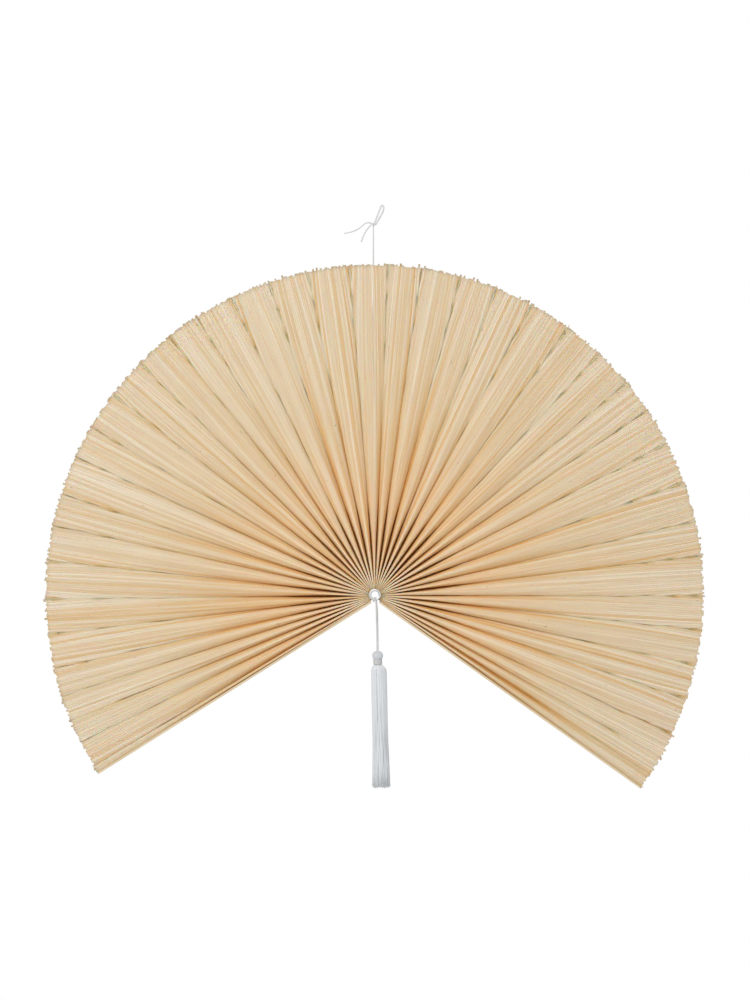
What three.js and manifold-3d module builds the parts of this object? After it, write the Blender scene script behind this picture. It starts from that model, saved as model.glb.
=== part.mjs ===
// Bamboo wall fan: a pleated mat of bamboo sticks gathered on a pivot ring, with guards, a hanging cord
// and a tassel. Millimetres, +Z up, the front faces -Y. The origin is the nail in the hanging loop.
import * as THREE from 'three';
import { mergeVertices } from 'three/addons/utils/BufferGeometryUtils.js';
import Module from 'manifold-3d';

const wasm = await Module();
wasm.setup();

// Leaf
const RIM_RADIUS = 502.5;
const RIM_CENTRE = [-0.7, 1.9];
const FOOT_RADIUS = 8;
const LEFT_SPREAD = 122.8;
const RIGHT_SPREAD = 125.9;
const LEFT_FOOT_SPREAD = 157;
const RIGHT_FOOT_SPREAD = 151;
const LEAST_PANEL_WIDTH = 29;
const RIM_DEPTH = 9.6;
const MAT_THICKNESS = 0.6;
const PLEAT_GAP = 0.3;
const SLATS_PER_PANEL = 5;
const RIM_RAGGEDNESS = 1.8;
const STATION_SHARES = [0, 0.03, 0.15, 0.34, 0.53, 0.7, 0.85, 1];

// How wide each pleat stands open at the rim beside the others, from the left end to the right
const PLEAT_WIDTHS = [
  1.2, 4.8, 4, 4.6, 4.9, 6.1, 6.2, 6.7, 6.3, 5.5,
  7.1, 5.7, 6.9, 7.3, 6.9, 5.7, 7.1, 7, 7, 7.4,
  6.8,
  5.8, 7, 6.6, 6.8, 7.5, 7.1, 7, 5.9, 6.8, 7.4,
  7.1, 6, 7.1, 5.9, 6.2, 6.1, 6.7, 4.4, 3.5, 2.6,
];

// Guards
const GUARD_THICKNESS = 3;
const GUARD_SETBACK = 5;
const GUARD_CORNER = 3;
const GUARD_BEVEL = 0.4;

// Pivot ring and binding wire
const RING_OUTER_RADIUS = 9.2;
const RING_INNER_RADIUS = 5.5;
const RING_DEPTH = 2.4;
const RING_ROUNDING = 0.9;
const WIRE_DIAMETER = 0.7;
const WIRE_CLEARANCE = 0.25;
const WIRE_WALL = 0.6;
const WIRE_HOLE_LENGTH = 4;

// Cords
const CORD_DIAMETER = 1.4;
const SEAT_GAP = 0.3;
const NAIL_POINT = [10.6, 10, 594.4];
const KNOT_CENTRE = [-2.6, 10, 566.2];
const KNOT_SIZE = [5.6, 4.8, 5.8];

// Tassel
const TASSEL_X = 4;
const TASSEL_TOP = -85.4;
const HEAD_HEIGHT = 12.5;
const HEAD_RADIUS = 8.2;
const NECK_HEIGHT = 7.8;
const NECK_RADIUS = 5.85;
const WRAP_DIAMETER = 1.1;
const WRAP_TURNS = 4;
const WRAP_PITCH = 1.6;
const SKIRT_LENGTH = 185;
const SKIRT_RADIUS = 11.7;
const SKIRT_FLARE = 2;
const SKIRT_DRIFT = 5.5;
const SKIRT_FLUTES = 12;
const SKIRT_FLUTE_DEPTH = 0.5;
const SKIRT_RAGGEDNESS = 2.5;

// Worked out from the values above
const foldLines = Array.from({ length: PLEAT_WIDTHS.length + 1 }, (_, k) => foldLine(k));
const panelWidths = PLEAT_WIDTHS.map((_, k) => panelWidth(k));
const frontY = -Math.max(...panelWidths) / 2;
const backY = -frontY;
const wireRingRadius = FOOT_RADIUS + WIRE_WALL + WIRE_CLEARANCE + WIRE_DIAMETER / 2;
const wireHoleCorner = (WIRE_DIAMETER / 2 + WIRE_CLEARANCE) / Math.cos(Math.PI / 6);
const ringBackY = frontY - SEAT_GAP;
const ringFrontY = ringBackY - RING_DEPTH;
const ringMiddleY = (ringBackY + ringFrontY) / 2;
const cordBehindY = backY + SEAT_GAP + CORD_DIAMETER / 2;
const ringReach = SEAT_GAP + CORD_DIAMETER / 2;

const bamboo = { color: 0xe0c69a, roughness: 0.62, metalness: 0 };
const slat = { color: 0xdcc092, roughness: 0.55, metalness: 0 };
const nickel = { color: 0xd4d2cc, roughness: 0.22, metalness: 1 };
const steel = { color: 0x8d8b86, roughness: 0.4, metalness: 1 };
const string = { color: 0xe4e4e2, roughness: 0.85, metalness: 0 };
const yarn = { color: 0xdadddd, roughness: 0.8, metalness: 0 };

const fan = new THREE.Group();
fan.position.set(-NAIL_POINT[0], -NAIL_POINT[1], -NAIL_POINT[2]);

function addPiece(name, geometry, finish) {
  const piece = new THREE.Mesh(geometry, new THREE.MeshStandardMaterial(finish));
  piece.name = name;
  fan.add(piece);
  return piece;
}

// A closed mesh from points and triangles, turned so that its faces look out.
function solid(points, triangles) {
  const volume = triangles.reduce((sum, [a, b, c]) => {
    const cross = new THREE.Vector3().crossVectors(points[b], points[c]);
    return sum + points[a].dot(cross);
  }, 0);
  const outward = volume > 0 ? triangles : triangles.map(([a, b, c]) => [a, c, b]);
  const geometry = new THREE.BufferGeometry();
  geometry.setAttribute('position', new THREE.Float32BufferAttribute(points.flatMap((p) => p.toArray()), 3));
  geometry.setIndex(outward.flat());
  return geometry;
}

// A skin over rings of equally many points, closed by a cap at each end.
function loft(rings, capTriangles) {
  const count = rings[0].length;
  const triangles = [];
  for (let ring = 0; ring < rings.length - 1; ring += 1) {
    for (let k = 0; k < count; k += 1) {
      const next = (k + 1) % count;
      const a = ring * count + k;
      const b = ring * count + next;
      triangles.push([a, b, b + count], [a, b + count, a + count]);
    }
  }
  const last = (rings.length - 1) * count;
  for (const [a, b, c] of capTriangles) {
    triangles.push([a, c, b], [last + a, last + b, last + c]);
  }
  return solid(rings.flat(), triangles);
}

function fanCap(count) {
  return Array.from({ length: count - 2 }, (_, k) => [0, k + 1, k + 2]);
}

function toManifold(geometry) {
  const bare = geometry.clone();
  bare.deleteAttribute('normal');
  bare.deleteAttribute('uv');
  const merged = mergeVertices(bare, 1e-5);
  return new wasm.Manifold(new wasm.Mesh({
    numProp: 3,
    vertProperties: Float32Array.from(merged.attributes.position.array),
    triVerts: Uint32Array.from(merged.index.array),
  }));
}

function fromManifold(body) {
  const mesh = body.getMesh();
  const geometry = new THREE.BufferGeometry();
  geometry.setAttribute('position', new THREE.BufferAttribute(Float32Array.from(mesh.vertProperties), 3));
  geometry.setIndex(Array.from(mesh.triVerts));
  return geometry;
}

// A tube through the points of a curve, with closed ends and no twist.
function cordTube(curvePoints, diameter, sides) {
  const forward = curvePoints.map((point, k) => {
    const before = curvePoints[Math.max(k - 1, 0)];
    const after = curvePoints[Math.min(k + 1, curvePoints.length - 1)];
    return after.clone().sub(before).normalize();
  });
  const start = Math.abs(forward[0].x) < 0.9 ? new THREE.Vector3(1, 0, 0) : new THREE.Vector3(0, 1, 0);
  let side = start.addScaledVector(forward[0], -start.dot(forward[0])).normalize();
  const rings = curvePoints.map((point, k) => {
    side = side.clone().addScaledVector(forward[k], -side.dot(forward[k])).normalize();
    const up = new THREE.Vector3().crossVectors(forward[k], side);
    return Array.from({ length: sides }, (_, n) => {
      const angle = (2 * Math.PI * n) / sides;
      return point.clone()
        .addScaledVector(side, Math.cos(angle) * diameter / 2)
        .addScaledVector(up, Math.sin(angle) * diameter / 2);
    });
  });
  return loft(rings, fanCap(sides));
}

function smoothRoute(points, stepsPerSpan) {
  const curve = new THREE.CatmullRomCurve3(points.map((p) => new THREE.Vector3(...p)), false, 'centripetal');
  return curve.getPoints((points.length - 1) * stepsPerSpan);
}

// A repeatable scatter from -1 to 1, for cut ends that don't line up.
function scatter(number) {
  const wave = Math.sin(number * 12.9898) * 43758.5453;
  return 2 * (wave - Math.floor(wave)) - 1;
}

// Leaf: the fold lines between pleats. Each runs straight from its foot on the hub, where all feet are
// equally thick, to its place on the rim, where the pleats stand open unevenly. The rim is cut to a circle
// that lies a little off the hub's middle.
function foldLine(number) {
  const sum = (widths) => widths.reduce((total, width) => total + width, 0);
  const rimShare = sum(PLEAT_WIDTHS.slice(0, number)) / sum(PLEAT_WIDTHS);
  const footShare = number / PLEAT_WIDTHS.length;
  const angle = THREE.MathUtils.degToRad(THREE.MathUtils.lerp(-LEFT_SPREAD, RIGHT_SPREAD, rimShare));
  const footAngle = THREE.MathUtils.degToRad(
    THREE.MathUtils.lerp(-LEFT_FOOT_SPREAD, RIGHT_FOOT_SPREAD, footShare),
  );
  return {
    foot: new THREE.Vector3(FOOT_RADIUS * Math.sin(footAngle), 0, FOOT_RADIUS * Math.cos(footAngle)),
    rim: new THREE.Vector3(
      RIM_CENTRE[0] + RIM_RADIUS * Math.sin(angle), 0, RIM_CENTRE[1] + RIM_RADIUS * Math.cos(angle),
    ),
  };
}

// A pleat that stands wide open was folded from wider panels, so that it still has some depth at the rim.
function panelWidth(number) {
  const rimWidth = foldLines[number].rim.distanceTo(foldLines[number + 1].rim) - PLEAT_GAP;
  return Math.max(LEAST_PANEL_WIDTH, Math.hypot(rimWidth / 2, RIM_DEPTH));
}

// A pleat's edges, half width and depth part of the way from its foot to the rim. Its two panels keep
// their width and stand on edge at the hub, so the depth falls as the pleat opens out.
function pleatSpan(number, share) {
  const [left, right] = [foldLines[number], foldLines[number + 1]].map(
    (line) => line.foot.clone().lerp(line.rim, share),
  );
  const halfWidth = (left.distanceTo(right) - PLEAT_GAP) / 2;
  return { left, right, halfWidth, depth: Math.sqrt(panelWidths[number] ** 2 - halfWidth ** 2) };
}

// The back of a fold between two pleats, midway between what each of them would have alone.
function valleyY(number, share) {
  const pleats = [number - 1, number].filter((k) => k >= 0 && k < PLEAT_WIDTHS.length);
  return pleats.reduce((sum, k) => sum + pleatSpan(k, share).depth / 2, 0) / pleats.length;
}

// One section of a pleat: its front from left to right, then its back. The rim is cut ragged, slat by slat.
function pleatRing(number, share) {
  const { left, right, halfWidth, depth } = pleatSpan(number, share);
  const across = right.clone().sub(left).normalize();
  const along = new THREE.Vector3(-across.z, 0, across.x);
  const middle = left.clone().add(right).multiplyScalar(0.5);
  const matDepth = Math.min(MAT_THICKNESS * panelWidths[number] / halfWidth, depth);
  const leftY = valleyY(number, share) - matDepth;
  const rightY = valleyY(number + 1, share) - matDepth;
  const columns = share === 1 ? 2 * SLATS_PER_PANEL : 2;
  const front = [];
  const back = [];
  for (let k = 0; k <= columns; k += 1) {
    const place = 2 * k / columns - 1;
    const cut = share === 1 ? RIM_RAGGEDNESS * scatter(number * 97 + k) : 0;
    const point = middle.clone().addScaledVector(across, place * halfWidth).addScaledVector(along, cut);
    const y = THREE.MathUtils.lerp(-depth / 2, place < 0 ? leftY : rightY, Math.abs(place));
    front.push(point.clone().setY(y));
    back.unshift(point.clone().setY(y + matDepth));
  }
  return [...front, ...back];
}

// The skin between two rings of a pleat, where each edge of the lower ring meets one or more of the upper
// ring's. The panels are twisted, so front and back are cut along the same diagonals to stay parallel.
function ringSkin(lowerFrom, upperFrom, upperCount) {
  const slats = (upperCount / 2 - 1) / 2;
  const valleyShare = Math.floor(slats / 2);
  const ridgeShare = slats - valleyShare;
  const spans = [slats, slats, 1, slats, slats, 1];
  const sharesOfFirstCorner = [valleyShare, ridgeShare, 1, valleyShare, ridgeShare, 1];
  const triangles = [];
  let passed = 0;
  spans.forEach((span, k) => {
    const a = lowerFrom + k;
    const b = lowerFrom + (k + 1) % spans.length;
    const half = sharesOfFirstCorner[k];
    for (let n = 0; n < span; n += 1) {
      const c = upperFrom + passed + n;
      const d = upperFrom + (passed + n + 1) % upperCount;
      triangles.push([n < half ? a : b, d, c]);
    }
    triangles.push([a, b, upperFrom + (passed + half) % upperCount]);
    passed += span;
  });
  return triangles;
}

function pleatCap(from, count) {
  const triangles = [];
  const opposite = count - 1;
  for (let k = 0; k < count / 2 - 1; k += 1) {
    triangles.push([from + k, from + k + 1, from + opposite - k - 1]);
    triangles.push([from + k, from + opposite - k - 1, from + opposite - k]);
  }
  return triangles;
}

function pleatSolid(number) {
  const rings = STATION_SHARES.map((share) => pleatRing(number, share));
  const triangles = pleatCap(0, rings[0].length).map(([a, b, c]) => [a, c, b]);
  let from = 0;
  for (let k = 0; k < rings.length - 1; k += 1) {
    const upperFrom = from + rings[k].length;
    triangles.push(...ringSkin(from, upperFrom, rings[k + 1].length));
    from = upperFrom;
  }
  triangles.push(...pleatCap(from, rings[rings.length - 1].length));
  return solid(rings.flat(), triangles);
}

// The hole drilled through a foot for the binding wire, square to the wire where it crosses the pleat.
function wireHole(number) {
  const [left, right] = [foldLines[number], foldLines[number + 1]];
  const foot = left.foot.clone().add(right.foot).multiplyScalar(0.5);
  const towardsRim = left.rim.clone().add(right.rim).multiplyScalar(0.5).sub(foot).normalize();
  const lean = foot.dot(towardsRim);
  const reach = Math.sqrt(lean ** 2 + wireRingRadius ** 2 - foot.lengthSq()) - lean;
  const crossing = foot.clone().addScaledVector(towardsRim, reach);
  const turn = Math.atan2(crossing.x, crossing.z);
  const drill = new THREE.CylinderGeometry(wireHoleCorner, wireHoleCorner, WIRE_HOLE_LENGTH, 6);
  drill.rotateZ(Math.PI / 2).rotateY(turn).translate(crossing.x, 0, crossing.z);
  return toManifold(drill);
}

for (let k = 0; k < PLEAT_WIDTHS.length; k += 1) {
  const drilled = toManifold(pleatSolid(k)).subtract(wireHole(k));
  addPiece(`pleat_${String(k + 1).padStart(2, '0')}`, fromManifold(drilled), bamboo);
}

// Guards: a slat on edge along each end fold, as deep as the widest panel.
function guardSolid(line, side) {
  const along = line.rim.clone().sub(line.foot).normalize();
  const length = line.rim.distanceTo(line.foot);
  const outline = new THREE.Shape();
  outline.moveTo(GUARD_SETBACK, frontY);
  outline.lineTo(length - GUARD_CORNER, frontY);
  outline.absarc(length - GUARD_CORNER, frontY + GUARD_CORNER, GUARD_CORNER, -Math.PI / 2, 0, false);
  outline.lineTo(length, backY - GUARD_CORNER);
  outline.absarc(length - GUARD_CORNER, backY - GUARD_CORNER, GUARD_CORNER, 0, Math.PI / 2, false);
  outline.lineTo(GUARD_SETBACK, backY);
  outline.closePath();
  const geometry = new THREE.ExtrudeGeometry(outline, {
    depth: GUARD_THICKNESS - 2 * GUARD_BEVEL,
    bevelThickness: GUARD_BEVEL,
    bevelSize: GUARD_BEVEL,
    bevelOffset: -GUARD_BEVEL,
    bevelSegments: 1,
    curveSegments: 4,
  });
  const normal = new THREE.Vector3(-along.z, 0, along.x);
  const clear = PLEAT_GAP / 2 + (side < 0 ? GUARD_BEVEL : GUARD_THICKNESS - GUARD_BEVEL);
  const base = line.foot.clone().addScaledVector(normal, -side * clear);
  const placed = new THREE.Matrix4().makeBasis(along, new THREE.Vector3(0, 1, 0), normal).setPosition(base);
  return geometry.applyMatrix4(placed);
}

addPiece('left_guard', guardSolid(foldLines[0], -1), slat);
addPiece('right_guard', guardSolid(foldLines[PLEAT_WIDTHS.length], 1), slat);

// Pivot ring: a flat rounded ring in front of the feet.
function ringSolid() {
  const profile = new THREE.Shape();
  const arc = [
    [RING_OUTER_RADIUS, ringFrontY, -1, 1, -Math.PI / 2],
    [RING_OUTER_RADIUS, ringBackY, -1, -1, 0],
    [RING_INNER_RADIUS, ringBackY, 1, -1, Math.PI / 2],
    [RING_INNER_RADIUS, ringFrontY, 1, 1, Math.PI],
  ];
  for (const [radius, y, inwards, up, from] of arc) {
    const centreX = radius + inwards * RING_ROUNDING;
    const centreY = y + up * RING_ROUNDING;
    profile.absarc(centreX, centreY, RING_ROUNDING, from, from + Math.PI / 2);
  }
  const points = profile.getPoints(2);
  points.push(points[0].clone());
  return new THREE.LatheGeometry(points, 28);
}

addPiece('pivot_ring', ringSolid(), nickel);
addPiece(
  'binding_wire',
  new THREE.TorusGeometry(wireRingRadius, WIRE_DIAMETER / 2, 6, 60).rotateX(Math.PI / 2),
  steel,
);

// Hanging cord: one string, doubled. It is looped round the bottom of the ring, goes back below the feet
// inside the binding wire, parts to go up behind the hub on both sides, and runs up behind the leaf to the
// knot.
const insideRadius = RING_INNER_RADIUS - ringReach;
const underRadius = RING_OUTER_RADIUS + ringReach;
const ringBottom = -(RING_INNER_RADIUS + RING_OUTER_RADIUS) / 2;
const insideWire = wireRingRadius - WIRE_DIAMETER / 2 - ringReach;
const besideHub = FOOT_RADIUS - CORD_DIAMETER / 2;
const knotUnder = KNOT_CENTRE[2] - KNOT_SIZE[2] / 2;

// How far down a cord at this x lies on a circle round the hub.
function downTo(radius, x) {
  return -Math.sqrt(radius ** 2 - x ** 2);
}

const hangingRoute = [
  [-2.5, 9.15, knotUnder],
  [-2.6, 11, 400],
  [-2.9, 13.4, 220],
  [-3.6, cordBehindY, 90],
  [-5.4, cordBehindY, 36],
  [-6.9, cordBehindY, 10],
  [-besideHub, cordBehindY, 2],
  [-besideHub + 0.6, cordBehindY, -3.6],
  [-besideHub + 2.3, cordBehindY, -6.6],
  [-3.2, cordBehindY - 0.6, downTo(insideWire, -3.2)],
  [-2.2, cordBehindY - 2.6, downTo(insideWire, -2.2)],
  [-2, cordBehindY - 6, downTo(insideWire, -2)],
  [-2, ringBackY + 5, downTo(insideWire, -2)],
  [-1.95, ringBackY + 1.9, downTo(underRadius, -1.95) + 0.7],
  [-1.85, ringBackY + 0.2, downTo(underRadius, -1.85)],
  [-1.6, ringMiddleY, downTo(underRadius, -1.6)],
  [-1.4, ringFrontY - 0.4, downTo(underRadius, -1.4)],
  [-1.25, ringFrontY - ringReach, downTo(underRadius, -1.25) + 0.9],
  [-1.1, ringFrontY - ringReach, ringBottom],
  [-0.95, ringFrontY - ringReach, downTo(insideRadius, -0.95) - 0.9],
  [-0.9, ringFrontY - 0.4, downTo(insideRadius, -0.9)],
  [-0.85, ringMiddleY, downTo(insideRadius, -0.85)],
  [-0.8, ringBackY + 0.4, downTo(insideRadius, -0.8)],
  [-0.6, ringBackY + ringReach, downTo(insideRadius, -0.6) - 0.9],
  [-0.3, ringBackY + ringReach + 0.3, ringBottom + 0.4],
  [-0.1, ringBackY + 3, -insideWire + 0.1],
  [0, ringBackY + 6, -insideWire],
  [0, cordBehindY - 6, -insideWire],
  [0.3, cordBehindY - 2.6, -insideWire],
  [1.5, cordBehindY - 0.6, downTo(insideWire, 1.5)],
  [3.4, cordBehindY, downTo(insideWire, 3.4)],
  [besideHub - 2, cordBehindY, -6.3],
  [besideHub - 0.5, cordBehindY, -3.4],
  [besideHub, cordBehindY, 2],
  [6.6, cordBehindY, 10],
  [4.2, cordBehindY, 36],
  [-0.6, cordBehindY, 90],
  [-1.9, 15.4, 220],
  [-2.4, 13, 400],
  [-2.5, 10.85, knotUnder],
];
addPiece('hanging_cord', cordTube(smoothRoute(hangingRoute, 2), CORD_DIAMETER, 8), string);

// Hanging knot, loop and tails: the overhand knot that makes the loop, and the string's two loose ends.
const knot = new THREE.SphereGeometry(0.5, 12, 8).scale(...KNOT_SIZE).translate(...KNOT_CENTRE);
addPiece('hanging_knot', knot, string);

const loopRoute = [
  [-0.45, 10, 568.85],
  [0.75, 10, 572.05],
  [1.95, 10, 575.3],
  [3.2, 10, 578.6],
  [4.5, 10, 581.9],
  [5.8, 10, 585.2],
  [7.1, 10, 588.4],
  [8.15, 10, 591.1],
  [9.15, 10, 593.9],
  [10.8, 10, 595.2],
  [12.5, 10, 594.2],
  [13.15, 10, 591.6],
  [12.8, 10, 588.2],
  [11.7, 10, 584.9],
  [10.1, 10, 581.8],
  [8.3, 10, 578.6],
  [6.5, 10, 575.4],
  [4.7, 10, 572.3],
  [2.9, 10, 569.2],
  [1.05, 10, 566.15],
];
addPiece('hanging_loop', cordTube(smoothRoute(loopRoute, 2), CORD_DIAMETER, 8), string);

const longTailRoute = [
  [-5.4, 9.7, 567.8],
  [-8, 9.4, 568.6],
  [-10.6, 9.1, 568.9],
  [-13.2, 9, 568.3],
  [-15.6, 9, 567.1],
  [-17.9, 9, 565.3],
  [-20.2, 9, 563.4],
  [-22.8, 9, 561.3],
  [-25.5, 9, 559.3],
  [-28.4, 9, 557.7],
  [-31.3, 9, 556.4],
  [-34.2, 9, 555.3],
  [-37.2, 9, 554.4],
  [-42.5, 9, 553.1],
  [-47.7, 9, 552.5],
];
addPiece('long_tail', cordTube(smoothRoute(longTailRoute, 1), CORD_DIAMETER, 8), string);

const shortTailRoute = [
  [-5.75, 10.3, 565.5],
  [-7.3, 10.5, 564.2],
  [-8.7, 10.6, 562.75],
  [-10.1, 10.6, 561.1],
  [-11.5, 10.6, 559.3],
  [-12.85, 10.6, 557.4],
  [-14.1, 10.6, 555.5],
  [-15.25, 10.6, 553.6],
  [-16.3, 10.6, 551.7],
  [-17.25, 10.6, 549.8],
  [-18.05, 10.6, 547.9],
  [-18.8, 10.6, 546],
  [-19.5, 10.6, 544.1],
  [-20.3, 10.6, 541.8],
  [-21.1, 10.6, 539.2],
];
addPiece('short_tail', cordTube(smoothRoute(shortTailRoute, 1), CORD_DIAMETER, 8), string);

// Tassel cord: a loop of string round the bottom of the ring, both strands down to the tassel's head.
const headTop = TASSEL_TOP + SEAT_GAP;
const tasselRoute = [
  [TASSEL_X - 0.85, ringMiddleY, headTop],
  [TASSEL_X - 1.05, ringMiddleY - 0.1, -70],
  [TASSEL_X - 1.55, ringMiddleY - 0.5, -45],
  [1.85, ringFrontY - ringReach + 0.7, -24],
  [1.35, ringFrontY - ringReach, -underRadius - 2],
  [1, ringFrontY - ringReach, ringBottom],
  [0.85, ringFrontY - ringReach, downTo(insideRadius, 0.85) - 0.9],
  [0.85, ringFrontY - 0.4, downTo(insideRadius, 0.85)],
  [0.95, ringMiddleY, downTo(insideRadius, 0.95)],
  [1.1, ringBackY + 0.4, downTo(insideRadius, 1.1)],
  [1.3, ringBackY + ringReach, downTo(insideRadius, 1.3) - 0.9],
  [1.7, ringBackY + ringReach, ringBottom],
  [2.5, ringBackY + ringReach, -underRadius - 2],
  [3.55, ringBackY + ringReach - 0.7, -24],
  [TASSEL_X + 0.15, ringMiddleY + 0.5, -45],
  [TASSEL_X + 0.65, ringMiddleY + 0.1, -70],
  [TASSEL_X + 0.85, ringMiddleY, headTop],
];
addPiece('tassel_cord', cordTube(smoothRoute(tasselRoute, 3), CORD_DIAMETER, 8), string);

// Tassel: a rounded head on a bound neck, and a skirt of threads that drifts to the right as it falls and has
// a ragged lower edge.
const neckTop = TASSEL_TOP - HEAD_HEIGHT;
const neckFoot = neckTop - NECK_HEIGHT;
const skirtTop = neckFoot - SEAT_GAP;

function headSolid() {
  const dome = new THREE.Path();
  dome.moveTo(0, TASSEL_TOP);
  dome.bezierCurveTo(
    HEAD_RADIUS * 0.7, TASSEL_TOP, HEAD_RADIUS * 1.05, TASSEL_TOP - HEAD_HEIGHT * 0.3,
    HEAD_RADIUS, TASSEL_TOP - HEAD_HEIGHT * 0.6,
  );
  dome.quadraticCurveTo(HEAD_RADIUS * 0.96, neckTop + 0.8, NECK_RADIUS, neckTop);
  dome.lineTo(NECK_RADIUS, neckFoot);
  dome.lineTo(0, neckFoot);
  return new THREE.LatheGeometry(dome.getPoints(5).reverse(), 20).rotateX(Math.PI / 2);
}

addPiece('tassel_head', headSolid(), yarn).position.set(TASSEL_X, ringMiddleY, 0);

function wrapRoute() {
  const radius = NECK_RADIUS + SEAT_GAP + WRAP_DIAMETER / 2;
  const top = neckTop - (NECK_HEIGHT - WRAP_TURNS * WRAP_PITCH) / 2;
  const steps = WRAP_TURNS * 24;
  return Array.from({ length: steps + 1 }, (_, k) => {
    const angle = (2 * Math.PI * k) / 24;
    return new THREE.Vector3(radius * Math.cos(angle), radius * Math.sin(angle), top - WRAP_PITCH * k / 24);
  });
}

const wrapPoints = wrapRoute();
let wrapGap = Infinity;
for (let a = 0; a < wrapPoints.length; a += 1) {
  for (let b = a + 12; b < wrapPoints.length; b += 1) {
    wrapGap = Math.min(wrapGap, wrapPoints[a].distanceTo(wrapPoints[b]) - WRAP_DIAMETER);
  }
}
console.log(`neck wrap: least gap between turns ${wrapGap.toFixed(2)} mm`);
const wrap = addPiece('tassel_neck_wrap', cordTube(wrapPoints, WRAP_DIAMETER, 6), string);
wrap.position.set(TASSEL_X, ringMiddleY, 0);

function skirtSolid() {
  const around = 2 * SKIRT_FLUTES;
  const shape = [
    [0, NECK_RADIUS, 0.05],
    [3.5, SKIRT_RADIUS * 0.78, 0.2],
    [9, SKIRT_RADIUS * 0.97, 0.36],
    [45, SKIRT_RADIUS, 0.5],
    [SKIRT_LENGTH * 0.62, SKIRT_RADIUS, 0.73],
    [SKIRT_LENGTH, SKIRT_RADIUS + SKIRT_FLARE, 1],
  ];
  const rings = shape.map(([down, radius, driftShare], row) => Array.from({ length: around }, (_, k) => {
    const angle = (2 * Math.PI * k) / around;
    const fluted = row === 0 ? radius : radius - (k % 2) * SKIRT_FLUTE_DEPTH * 2;
    const cut = row === shape.length - 1 ? SKIRT_RAGGEDNESS * scatter(500 + k) : 0;
    const x = SKIRT_DRIFT * driftShare + fluted * Math.cos(angle);
    return new THREE.Vector3(x, fluted * Math.sin(angle), skirtTop - down + cut);
  }));
  return loft(rings, fanCap(around));
}

addPiece('tassel_skirt', skirtSolid(), yarn).position.set(TASSEL_X, ringMiddleY, 0);

export default fan;
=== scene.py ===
import math
import random
import bpy
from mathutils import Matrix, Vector


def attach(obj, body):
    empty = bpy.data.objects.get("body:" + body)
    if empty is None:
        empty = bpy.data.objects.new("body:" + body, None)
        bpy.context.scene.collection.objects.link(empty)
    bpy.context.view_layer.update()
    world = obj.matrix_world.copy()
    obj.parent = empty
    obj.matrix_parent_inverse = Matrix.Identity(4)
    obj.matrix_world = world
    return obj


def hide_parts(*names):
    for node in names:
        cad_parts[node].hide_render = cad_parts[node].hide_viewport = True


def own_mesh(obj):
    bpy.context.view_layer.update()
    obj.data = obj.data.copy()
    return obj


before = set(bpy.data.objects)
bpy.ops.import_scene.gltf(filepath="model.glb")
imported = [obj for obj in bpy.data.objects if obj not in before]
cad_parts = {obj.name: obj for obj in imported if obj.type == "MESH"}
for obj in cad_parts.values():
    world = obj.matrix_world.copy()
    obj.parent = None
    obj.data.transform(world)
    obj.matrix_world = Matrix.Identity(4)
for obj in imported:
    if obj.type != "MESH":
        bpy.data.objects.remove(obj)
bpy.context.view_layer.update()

# View: the fan hangs on a wall and is looked at square on, from the height of the middle of its leaf.
# A long lens keeps the rim round. The background is white to the eye and to the ring's polish.
camera_data = bpy.data.cameras.new("camera")
camera_data.lens = 94.27
camera_data.sensor_width = 36
camera = bpy.data.objects.new("camera", camera_data)
camera.location = (-0.0106, -4.01, -0.4502)
camera.rotation_euler = (math.radians(90), 0, 0)
bpy.context.scene.collection.objects.link(camera)
bpy.context.scene.camera = camera
bpy.context.scene.view_settings.view_transform = "Standard"

world = bpy.data.worlds.new("studio")
bpy.context.scene.world = world
world.use_nodes = True
sky = world.node_tree
sky.nodes.clear()
ray = sky.nodes.new("ShaderNodeLightPath")
seen_or_shine = sky.nodes.new("ShaderNodeMath")
seen_or_shine.operation = "MAXIMUM"
sky.links.new(ray.outputs["Is Camera Ray"], seen_or_shine.inputs[0])
sky.links.new(ray.outputs["Is Glossy Ray"], seen_or_shine.inputs[1])
seen_or_through = sky.nodes.new("ShaderNodeMath")
seen_or_through.operation = "MAXIMUM"
sky.links.new(seen_or_shine.outputs[0], seen_or_through.inputs[0])
sky.links.new(ray.outputs["Is Transmission Ray"], seen_or_through.inputs[1])
room_light = sky.nodes.new("ShaderNodeBackground")
room_light.inputs["Color"].default_value = (1.0, 1.0, 1.0, 1)
room_light.inputs["Strength"].default_value = 0.63
white_behind = sky.nodes.new("ShaderNodeBackground")
white_behind.inputs["Color"].default_value = (1, 1, 1, 1)
white_behind.inputs["Strength"].default_value = 1.0
either = sky.nodes.new("ShaderNodeMixShader")
sky.links.new(seen_or_through.outputs[0], either.inputs["Fac"])
sky.links.new(room_light.outputs[0], either.inputs[1])
sky.links.new(white_behind.outputs[0], either.inputs[2])
sky_out = sky.nodes.new("ShaderNodeOutputWorld")
sky.links.new(either.outputs[0], sky_out.inputs["Surface"])

softbox_data = bpy.data.lights.new("softbox", "AREA")
softbox_data.shape = "RECTANGLE"
softbox_data.size = 3.4
softbox_data.size_y = 2.6
softbox_data.energy = 100
softbox = bpy.data.objects.new("softbox", softbox_data)
softbox.location = (-1.6, -4.1, 1.5)
softbox.rotation_euler = (Vector((0, 0, -0.45)) - softbox.location).to_track_quat("-Z", "Y").to_euler()
bpy.context.scene.collection.objects.link(softbox)

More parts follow.
